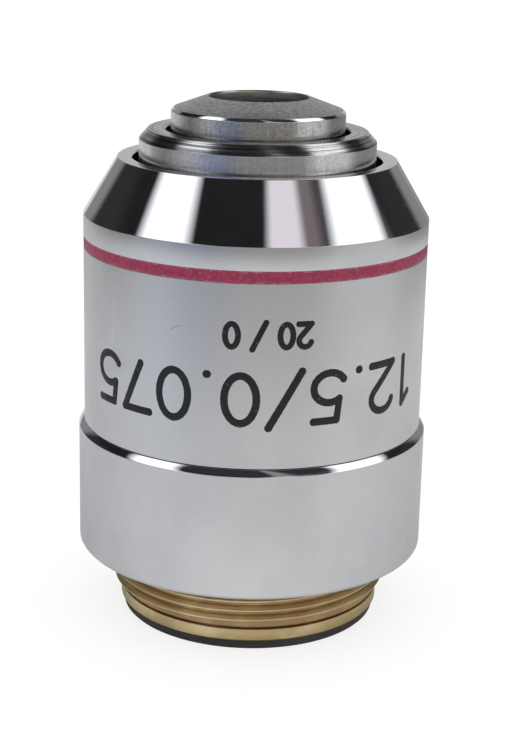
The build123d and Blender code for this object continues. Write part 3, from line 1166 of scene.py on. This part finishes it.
@dataclass
class Nose:
    """The sleeve of the lens barrel, the front cell in it and the front lens."""

    stack_bore: float = 6.2
    tail: float = 4.4
    tail_radius: float = 7.2
    shank: float = 12.02
    shank_radius: float = 8.72
    flange: float = 19.85
    flange_radius: float = 9.67
    flange_top: float = 29.4
    sleeve_radius: float = 8.43
    sleeve_top: float = 35.73
    bevel_width: float = 0.64
    bevel_height: float = 0.71
    nose_bore: float = 6.53
    nose_edge: float = 0.1
    seat: float = 29.2
    waist: float = 5.6
    stack_stop: float = 18.9
    cell_thread: float = 6.5
    cell_thread_length: float = 3.0
    cell_radius: float = 6.18
    cell_edge: float = 0.2
    cell_cone: float = 37.19
    cell_mouth: float = 3.53
    lip: float = 0.12
    lip_count: int = 7
    tip: float = 38.09
    mouth_depth: float = 1.84
    lens_radius: float = 4.6
    lens_gap: float = 0.03
    lens_flat: float = 0.7
    lens_thickness: float = 3.6
    lens_hollow: float = 9.31
    lens_back: float = 18.63

    def sleeve_section(self) -> list[Point]:
        """The half section of the lens barrel.

        Returns:
            Its corners (radius, height) in order.
        """
        return [
            (self.stack_bore, self.tail),
            (self.tail_radius, self.tail),
            (self.tail_radius, self.shank),
            (self.shank_radius, self.shank),
            (self.shank_radius, self.flange),
            (self.flange_radius, self.flange),
            (self.flange_radius, self.flange_top),
            (self.sleeve_radius, self.flange_top),
            (self.sleeve_radius, self.sleeve_top - self.bevel_height),
            (self.sleeve_radius - self.bevel_width, self.sleeve_top),
            (self.nose_bore + self.nose_edge, self.sleeve_top),
            (self.nose_bore, self.sleeve_top - self.nose_edge),
            (self.nose_bore, self.seat),
            (self.waist, self.seat),
            (self.waist, self.stack_stop),
            (self.stack_bore, self.stack_stop),
        ]

    def cell_section(self) -> list[Point]:
        """The half section of the front cell.

        Returns:
            Its corners (radius, height) in order.
        """
        bore = self.lens_radius + self.lens_gap
        thread_top = self.seat + self.cell_thread_length
        rim = self.tip - self.mouth_depth
        return [
            (bore, self.seat),
            (self.cell_thread, self.seat),
            (self.cell_thread, thread_top),
            (self.cell_radius, thread_top),
            (self.cell_radius, self.cell_cone - self.cell_edge),
            (self.cell_radius - self.cell_edge, self.cell_cone),
            *self.mouth_round(),
            (self.cell_mouth, rim),
            (bore, rim),
        ]

    def mouth_round(self) -> list[Point]:
        """The rounded lip between the cell's cone and its mouth.

        Returns:
            Its corners (radius, height) in order.
        """
        run = self.cell_radius - self.cell_edge - self.cell_mouth
        slope = math.atan2(self.tip - self.cell_cone, run)
        drop = self.lip * (math.tan(slope) + 1 / math.cos(slope))
        centre = (self.cell_mouth + self.lip, self.tip - drop)
        first = 90 - math.degrees(slope)
        return arc_points(centre, (self.lip, self.lip), first, 180, self.lip_count)

    def lens_section(self) -> list[Point]:
        """The half section of the front lens, from axis to axis.

        Returns:
            Its corners (radius, height) in order.
        """
        flat = self.lens_radius - self.lens_flat
        rim = self.tip - self.mouth_depth
        hollow_vertex = rim - self.lens_hollow + math.sqrt(self.lens_hollow**2 - flat**2)
        back = face_points(hollow_vertex - self.lens_thickness, self.lens_back, self.lens_radius)
        hollow = face_points(hollow_vertex, self.lens_hollow, flat)
        return [*back, (self.lens_radius, rim), *reversed(hollow)]

    def build(self, glass: Material) -> None:
        """Builds the sleeve, the cell and the lens.

        Args:
            glass: the lens's finish.
        """
        sleeve_plate = TurnedPlate(
            name="sleeve_plate",
            wall=(0.76, 0.76, 0.755),
            wall_dull=(0.54, 0.54, 0.54),
            face=(0.62, 0.62, 0.61),
            face_dull=(0.46, 0.46, 0.45),
            wall_roughness=0.20,
            face_roughness=0.11,
            face_from=self.sleeve_top - self.bevel_height,
            bore_radius=self.waist,
            face_rings=7.0,
            # painted shade in the bevel's lathe grooves
            groove_shade_level=0.85,
            face_mottle=0.3,
            ring_depth=0.010,
        )
        cell_plate = TurnedPlate(
            name="cell_plate",
            wall=(0.72, 0.71, 0.70),
            wall_dull=(0.42, 0.41, 0.40),
            face=(0.47, 0.47, 0.475),
            face_dull=(0.22, 0.22, 0.22),
            wall_roughness=0.17,
            face_roughness=0.27,
            face_from=self.cell_cone,
            bevel_from=self.cell_cone - self.cell_edge,
            bevel_to=self.cell_cone,
            bevel_radius=self.cell_radius - self.cell_edge - 2 * SOFT,
            bore_radius=self.cell_mouth + SOFT / 2,
            ring_depth=0.008,
        )
        sleeve = turn_piece("lens_barrel_turned", self.sleeve_section())
        settle(sleeve, sleeve_plate.material(), "lens_barrel")
        cell = turn_piece("front_cell_turned", self.cell_section())
        settle(cell, cell_plate.material(), "front_cell")
        lens = turn_piece("front_lens_ground", self.lens_section())
        settle(lens, glass, "front_lens")


@dataclass
class InnerParts:
    """The pieces inside the barrels, which keep their solids."""

    dark: tuple[str, ...] = (
        "parfocal_lock_ring",
        "front_lens_ring",
        "aperture_stop",
        "middle_cell",
        "middle_lens_ring",
        "spacer_ring",
        "rear_cell",
        "rear_lens_ring",
        "stack_clamp_ring",
    )
    lenses: tuple[str, ...] = (
        "middle_flint_lens",
        "middle_crown_lens",
        "rear_crown_lens",
        "rear_flint_lens",
    )

    def build(self, black: Material, brass: Material, glass: Material) -> None:
        """Dresses the inner pieces.

        Args:
            black: the finish of the cells, rings and stop.
            brass: the shim's finish.
            glass: the lenses' finish.
        """
        dress(black, *self.dark)
        dress(glass, *self.lenses)
        dress(brass, "parfocal_shim")


@dataclass(frozen=True)
class MarkRow:
    """One row of numerals, upside down, from right to left round the barrel."""

    name: str
    text: str
    base: float
    cap: float
    stroke: float
    advance: float
    first_angle: float
    width: float = 1.0


@dataclass
class Marks:
    """Plain numerals, cut with a round tool and filled with paint."""

    barrel_radius: float = 12.35
    proud: float = 0.012
    flatness: float = 0.10
    step: float = 0.16
    corner: float = 25.0
    narrow: dict[str, float] = field(default_factory=lambda: {" ": 0.45, ".": 0.55, "1": 0.75})
    large: MarkRow = MarkRow("large_numerals", "12.5/0.075", 21.25, 3.60, 0.39, 3.02, 62.5, 1.18)
    small: MarkRow = MarkRow("small_numerals", "20 / 0", 24.70, 1.70, 0.235, 1.26, 18.5)
    glyphs: dict[str, list[Point]] = field(default_factory=dict)

    def __post_init__(self) -> None:
        """Draws the stroke of each numeral in a cell one high and 0.6 wide."""
        self.glyphs = {
            "0": arc_points((0.30, 0.5), (0.255, 0.46), 90, 450, 33),
            "1": [(0.06, 0.78), (0.26, 0.96), (0.26, 0.04)],
            "2": [
                *arc_points((0.30, 0.71), (0.25, 0.25), 165, -38, 15),
                (0.05, 0.04),
                (0.57, 0.04),
            ],
            "5": [
                (0.54, 0.96),
                (0.14, 0.96),
                *arc_points((0.27, 0.32), (0.28, 0.29), 128, -150, 19),
            ],
            "7": [(0.04, 0.96), (0.57, 0.96), (0.22, 0.04)],
            "/": [(0.04, -0.04), (0.56, 1.04)],
            ".": [(0.12, 0.045), (0.13, 0.045)],
        }

    def close_steps(self, path: list[Place]) -> list[Place]:
        """Adds points on a stroke's straight runs, so that it can follow the barrel.

        Args:
            path: the stroke's points, in millimetres.

        Returns:
            The same path in steps no longer than the step size.
        """
        closer = [path[0]]
        for here, there in zip(path, path[1:]):
            run = Vector(there) - Vector(here)
            count = max(1, math.ceil(run.length / self.step))
            for index in range(1, count + 1):
                closer.append(tuple(Vector(here) + run * index / count))
        return closer

    def stroke_piece(self, points: list[Point], row: MarkRow, start: float) -> list[Piece]:
        """Runs the round tool along one stroke.

        Args:
            points: the stroke's points in its cell.
            row: the row that it belongs to.
            start: where its cell starts along the row, in millimetres.

        Returns:
            The stroke and the round ends and corners of it.
        """
        wide = row.cap * row.width
        path = [(start + across * wide, along * row.cap, 0.0) for across, along in points]
        draw_chain("stroke", self.close_steps(path))
        bpy.ops.object.mode_set(mode="OBJECT")
        bpy.ops.object.convert(target="CURVE")
        stroke = bpy.context.active_object
        stroke.data.bevel_depth = row.stroke * MM
        stroke.data.bevel_resolution = 3
        stroke.data.use_fill_caps = True
        bpy.ops.object.convert(target="MESH")
        made = [bpy.context.active_object]
        for before, here, after in zip([None, *path], path, [*path[1:], None]):
            if before is not None and after is not None:
                bend = (Vector(here) - Vector(before)).angle(Vector(after) - Vector(here))
                if bend < math.radians(self.corner):
                    continue
            pick()
            bpy.ops.mesh.primitive_uv_sphere_add(
                segments=20, ring_count=10, radius=row.stroke * MM, location=Vector(here) * MM
            )
            bpy.ops.object.transform_apply(location=True, rotation=True, scale=True)
            made.append(bpy.context.active_object)
        return made

    def wrap(self, piece: Piece, row: MarkRow) -> None:
        """Flattens a flat row and lays it round the barrel.

        Args:
            piece: the row's object, drawn flat.
            row: its sizes.
        """
        middle = self.barrel_radius + self.proud - row.stroke * self.flatness
        for vertex in piece.data.vertices:
            across, along, out = vertex.co / MM
            angle = math.radians(row.first_angle) - across / self.barrel_radius
            radius = middle + out * self.flatness
            place = (radius * math.sin(angle), -radius * math.cos(angle), row.base - along)
            vertex.co = Vector(place) * MM

    def build(self, paint: Material) -> None:
        """Builds both rows.

        Args:
            paint: the paint in the strokes.
        """
        for row in (self.large, self.small):
            pieces: list[Piece] = []
            start = 0.0
            for character in row.text:
                if character in self.glyphs:
                    pieces += self.stroke_piece(self.glyphs[character], row, start)
                start += row.advance * self.narrow.get(character, 1.0)
            rowed = join_pieces(pieces)
            rowed.name = row.name
            rowed.data.name = row.name
            self.wrap(rowed, row)
            pick(rowed)
            bpy.ops.object.mode_set(mode="EDIT")
            close_up()
            bpy.ops.object.shade_smooth_by_angle(angle=PAINT_SMOOTH_ANGLE)
            settle(rowed, paint)


# The studio


def bare_graph(owner: bpy.types.World | Material) -> Graph:
    """Empties the node tree of a world or material.

    Args:
        owner: the world or material.

    Returns:
        A graph on its empty tree.
    """
    owner.use_nodes = True
    owner.node_tree.nodes.clear()
    return Graph(owner.node_tree)


def compass(graph: Graph, source: str) -> tuple[Wires, Wire]:
    """Splits a coordinate and finds where it lies round the compass.

    Args:
        graph: the tree to draw in.
        source: which texture coordinate.

    Returns:
        Its three parts, and its angle, which is 0 towards -Y and grows towards +X.
    """
    vector = graph.wire("ShaderNodeTexCoord", key=source)
    parts = graph.wires("ShaderNodeSeparateXYZ", {0: vector})
    return parts, graph.math("ARCTAN2", parts["X"], parts["Y"] * -1.0)


def compass_ramp(graph: Graph, around: Wire, wanted: Sequence[Stop]) -> Wire:
    """Colours that change round the compass.

    Args:
        graph: the tree to draw in.
        around: the compass angle, from minus to plus half a turn.
        wanted: directions in degrees, from -180 to 180, each with red, green and blue.

    Returns:
        The colour.
    """
    ramp = graph.node("ShaderNodeValToRGB", {0: around / math.tau + 0.5})
    stops = ramp.color_ramp.elements
    for stop, (angle, *colour) in zip(stops, (wanted[0], wanted[-1])):
        stop.position = (angle + 180) / 360
        stop.color = (*colour, 1.0)
    for angle, *colour in wanted[1:-1]:
        stops.new((angle + 180) / 360).color = (*colour, 1.0)
    return Wire(graph, ramp.outputs["Color"])


def soft_cards(cards: Sequence[Stop], edge: float) -> list[Stop]:
    """Turns a ring of plain cards into stops with soft edges between them.

    Args:
        cards: where each card starts, with its colour. It ends where the next one starts.
        edge: how wide the soft edges are, in degrees.

    Returns:
        The stops in order.
    """
    stops: list[Stop] = []
    ends = [card[0] for card in cards[1:]] + [180]
    for (start, *colour), end in zip(cards, ends):
        stops.append((start + edge / 2, *colour))
        stops.append((end - edge / 2, *colour))
    return stops


def direct_view(graph: Graph) -> Wire:
    """Whether the camera looks here, straight or through glass."""
    path = graph.wires("ShaderNodeLightPath")
    return graph.math("MAXIMUM", path["Is Camera Ray"], path["Is Transmission Ray"])


@dataclass
class Studio:
    """Floor, walls and camera.

    Each row of colours starts with a direction in degrees, 0 towards the camera and
    growing to its right. The floor's rows are kept by their distance in metres, and the
    cards' rows say where each card starts.
    """

    lens: float = 80.79
    sensor: float = 36.0
    pitch: float = 16.018
    roll: float = 1.2907
    camera_place: Place = (0.187, -116.118, 51.647)
    floor_size: float = 3.0
    floor_matte: float = 0.30
    floor_glow: float = 0.76
    rings: tuple[tuple[float, tuple[Stop, ...]], ...] = (
        (
            0.022,
            (
                (-180, 0.62, 0.63, 0.65), (-100, 0.62, 0.63, 0.65), (-55, 0.85, 0.85, 0.87),
                (0, 1.0, 1.0, 1.0), (60, 0.82, 0.82, 0.84), (110, 0.62, 0.63, 0.64),
                (180, 0.62, 0.63, 0.65),
            ),
        ),
        (
            0.100,
            (
                (-180, 0.78, 0.79, 0.80), (-76, 0.78, 0.80, 0.83), (-60, 0.76, 0.80, 0.88),
                (-46, 0.62, 0.65, 0.72), (-34, 0.56, 0.57, 0.59), (0, 0.59, 0.59, 0.60),
                (30, 0.60, 0.59, 0.59), (48, 0.74, 0.75, 0.76), (180, 0.80, 0.81, 0.82),
            ),
        ),
        (
            0.122,
            (
                (-180, 0.62, 0.62, 0.62), (-130, 0.55, 0.55, 0.55), (-104, 0.55, 0.55, 0.55),
                (-80, 0.62, 0.62, 0.63), (-61, 0.62, 0.66, 0.77), (-44, 0.54, 0.56, 0.63),
                (-28, 0.38, 0.38, 0.39), (34, 0.34, 0.33, 0.33), (46, 0.34, 0.34, 0.34),
                (54, 0.72, 0.72, 0.72), (90, 0.74, 0.74, 0.75), (118, 0.62, 0.62, 0.63),
                (180, 0.62, 0.62, 0.62),
            ),
        ),
        (
            0.134,
            (
                (-180, 0.70, 0.70, 0.70), (-128, 0.68, 0.68, 0.68), (-112, 0.30, 0.30, 0.30),
                (-96, 0.20, 0.20, 0.20), (-74, 0.46, 0.47, 0.48), (-58, 0.43, 0.48, 0.58),
                (-46, 0.27, 0.31, 0.44), (-28, 0.20, 0.23, 0.32), (-16, 0.27, 0.27, 0.28),
                (46, 0.29, 0.28, 0.27), (56, 0.74, 0.74, 0.74), (92, 0.74, 0.74, 0.74),
                (106, 0.26, 0.26, 0.26), (180, 0.30, 0.30, 0.30),
            ),
        ),
    )
    white: Colour = (1.0, 1.0, 1.0)
    ceiling: Colour = (0.030, 0.031, 0.035)
    ceiling_low: float = 53.0
    ceiling_high: float = 59.0
    tall_low: float = 22.0
    tall_high: float = 46.0
    tall_soft: float = 0.06
    tall_share: float = 0.30
    low_end: float = 21.0
    high_start: float = 29.0
    low_cards: tuple[Stop, ...] = (
        (-180, 0.50, 0.50, 0.50), (-160, 0.24, 0.25, 0.25), (-139, 0.030, 0.030, 0.032),
        (-96, 0.20, 0.20, 0.20), (-53, 0.12, 0.15, 0.30), (-21, 0.36, 0.35, 0.32),
        (60, 0.50, 0.50, 0.49), (106, 0.030, 0.030, 0.032), (139, 0.24, 0.25, 0.25),
        (160, 0.50, 0.50, 0.50),
    )
    card_edge: float = 7.0
    high_cards: tuple[Stop, ...] = (
        (-180, 0.50, 0.50, 0.50), (-153, 0.015, 0.015, 0.016), (10, 0.86, 0.80, 0.86),
        (39, 0.20, 0.17, 0.18), (53, 0.07, 0.06, 0.065), (78, 0.020, 0.020, 0.021),
        (153, 0.50, 0.50, 0.50),
    )
    slant: float = 1.5
    slant_middle: float = 35.0
    slant_low: float = 22.0
    slant_high: float = 66.0
    panel_full: float = 61.0
    panel_end: float = 69.0
    panel_edge: float = 13.0
    panels: tuple[Stop, ...] = (
        (-180, 0.0, 0.0, 0.0), (-94, 1.40, 1.42, 1.48), (-40.5, 0.0, 0.0, 0.0),
        (51, 1.40, 1.42, 1.48), (112, 0.0, 0.0, 0.0),
    )

    def walls(self, graph: Graph) -> Wire:
        """The light that polished metal sees, by direction.

        Args:
            graph: the world's graph.

        Returns:
            The colour.
        """
        turn = math.radians
        parts, around = compass(graph, "Generated")
        rise = graph.math("ARCSINE", parts["Z"])
        upper = compass_ramp(graph, around, soft_cards(self.high_cards, self.card_edge))
        lower = compass_ramp(graph, around, soft_cards(self.low_cards, self.card_edge))
        lift = graph.rise(rise, turn(self.low_end), turn(self.high_start))
        over = graph.rise(rise, turn(self.ceiling_low), turn(self.ceiling_high))
        tall = graph.between(around, turn(self.tall_low), turn(self.tall_high), self.tall_soft)
        over *= 1.0 - tall * self.tall_share
        room = graph.tint(over, graph.tint(lift, lower, upper), self.ceiling)
        panels = self.leaning_panels(graph, around, rise)
        shown = lift * graph.fall(rise, turn(self.panel_full), turn(self.panel_end))
        return graph.tint(shown, room, graph.tint(1.0, room, panels, "LIGHTEN"))

    def leaning_panels(self, graph: Graph, around: Wire, rise: Wire) -> Wire:
        """The two bright panels, which lean away from the camera towards their tops.

        Args:
            graph: the world's graph.
            around: the direction's compass angle.
            rise: its height angle.

        Returns:
            The colour.
        """
        held = graph.math("MAXIMUM", rise, math.radians(self.slant_low))
        held = graph.math("MINIMUM", held, math.radians(self.slant_high))
        shift = (held - math.radians(self.slant_middle)) * self.slant
        upright = graph.math("MAXIMUM", abs(around) - shift, 0.0)
        upright = graph.math("MINIMUM", upright, math.pi) * graph.math("SIGN", around)
        return compass_ramp(graph, upright, soft_cards(self.panels, self.panel_edge))

    def light(self) -> None:
        """Lights the world: plain for matte faces, cards for metal, white behind."""
        world = bpy.data.worlds.new("studio")
        bpy.context.scene.world = world
        graph = bare_graph(world)
        glossy = graph.wire("ShaderNodeLightPath", key="Is Glossy Ray")
        lit = graph.tint(glossy, self.white, self.walls(graph))
        colour = graph.tint(direct_view(graph), lit, self.white)
        shader = graph.wire("ShaderNodeBackground", {"Color": colour, "Strength": 1.0})
        graph.node("ShaderNodeOutputWorld", {"Surface": shader})

    def floor_colour(self, graph: Graph) -> Wire:
        """The floor that metal sees: pale close by, dimmer and bluish further out in front.

        Args:
            graph: the floor material's graph.

        Returns:
            The colour.
        """
        parts, around = compass(graph, "Object")
        squares = parts["X"] * parts["X"] + parts["Y"] * parts["Y"]
        reach = graph.math("SQRT", squares)
        inner, stops = self.rings[0]
        colour = compass_ramp(graph, around, stops)
        for outer, stops in self.rings[1:]:
            further = graph.rise(reach, inner, outer)
            colour = graph.tint(further, colour, compass_ramp(graph, around, stops))
            inner = outer
        return colour

    def floor(self) -> None:
        """Lays the pale floor, white to the camera except in the object's shadow."""
        pick()
        bpy.ops.mesh.primitive_circle_add(vertices=96, radius=self.floor_size, fill_type="NGON")
        floor = bpy.context.active_object
        floor.name = "studio_floor"
        material = bpy.data.materials.new("studio_floor")
        graph = bare_graph(material)
        grey, glow = ((level, level, level, 1.0) for level in (self.floor_matte, self.floor_glow))
        matte = graph.wire("ShaderNodeBsdfDiffuse", {"Color": grey})
        shine = graph.wire("ShaderNodeEmission", {"Color": glow})
        seen = graph.wire("ShaderNodeAddShader", {0: matte, 1: shine})
        pale = graph.wire("ShaderNodeBsdfDiffuse", {"Color": self.floor_colour(graph)})
        mixed = graph.wire("ShaderNodeMixShader", {0: direct_view(graph), 1: pale, 2: seen})
        graph.node("ShaderNodeOutputMaterial", {"Surface": mixed})
        floor.data.materials.append(material)

    def camera(self) -> None:
        """Places the camera at the photograph's angle."""
        data = bpy.data.cameras.new("camera")
        data.lens = self.lens
        data.sensor_width = self.sensor
        data.sensor_fit = "AUTO"
        data.clip_start = 0.005
        data.clip_end = 20.0
        camera = bpy.data.objects.new("camera", data)
        bpy.context.scene.collection.objects.link(camera)
        tilt = Matrix.Rotation(math.radians(90 - self.pitch), 4, "X")
        lean = Matrix.Rotation(math.radians(self.roll), 4, "Z")
        place = Matrix.Translation(Vector(self.camera_place) * MM)
        camera.matrix_world = place @ tilt @ lean
        bpy.context.scene.camera = camera

    def build(self) -> None:
        """Sets up the whole studio."""
        self.camera()
        self.light()
        self.floor()
        bpy.context.scene.view_settings.view_transform = "Standard"


def main() -> None:
    """Builds the studio and every sub-assembly in order."""
    logging.basicConfig(level=logging.INFO, format="%(name)s: %(message)s")
    Studio().build()
    brass = Brass("turned_brass").material()
    ring_black = DarkFinish("black_ring", (0.022, 0.021, 0.021), (0.045, 0.043, 0.042), 0.48)
    inner_black = DarkFinish("blackened_metal", (0.020, 0.020, 0.021), (0.05, 0.05, 0.05), 0.5)
    barrels = Barrels()
    enamel = BandEnamel("band_enamel", barrels.band_low, barrels.band_high).material()
    RearMount().build(brass, ring_black.material())
    barrels.build(enamel)
    Nose().build(CoatedGlass("front_lens_glass").material())
    InnerParts().build(inner_black.material(), brass, CoatedGlass("inner_lens_glass").material())
    Marks().build(MarkPaint("mark_paint").material())


if __name__ == "__main__":
    main()
